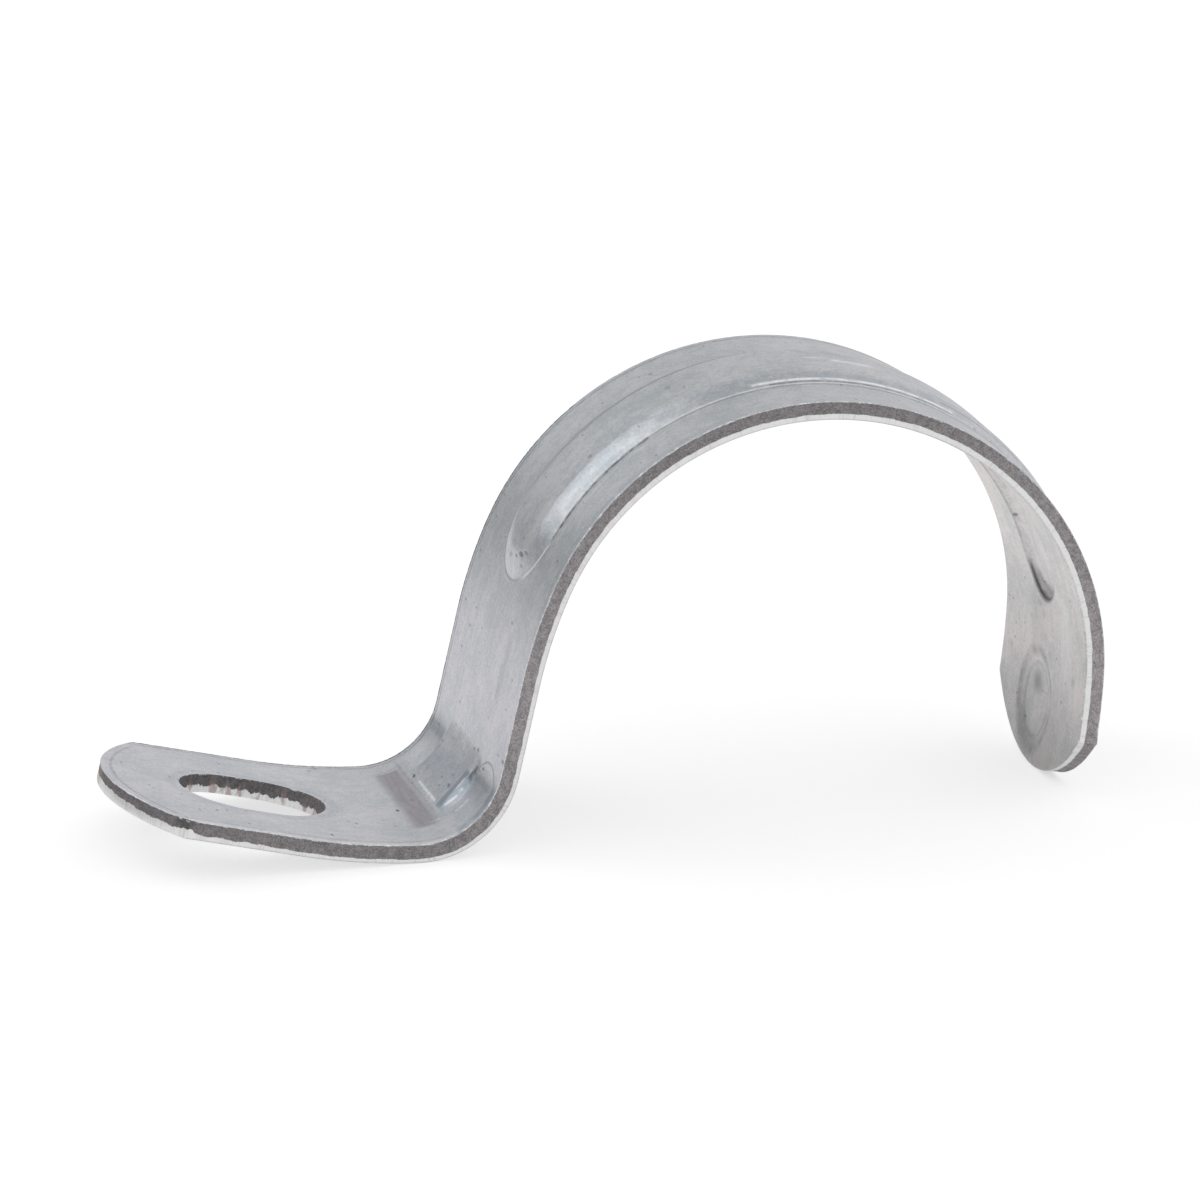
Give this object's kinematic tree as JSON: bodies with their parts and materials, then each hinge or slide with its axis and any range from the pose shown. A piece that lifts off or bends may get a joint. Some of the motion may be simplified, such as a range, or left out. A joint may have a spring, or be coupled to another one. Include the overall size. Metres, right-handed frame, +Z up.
{
  "type": "conduit strap",
  "caption": "One-hole conduit strap bent from sheet steel, with a slotted foot, a heel rib and a bead along its arch.",
  "frame": {"origin": "on the conduit's axis, half way across the strap", "axes": "+Y along the conduit's axis, +X from the foot to the free end, +Z up as the strap rests on its heel and free end"},
  "size_m": [0.0869, 0.0254, 0.0386],
  "materials": {
    "galvanised_sheet": "galvanised sheet steel with a dull sheen and bare sheared edges"
  },
  "bodies": {
    "root": {"strap": "galvanised_sheet"}
  },
  "joints": []
}
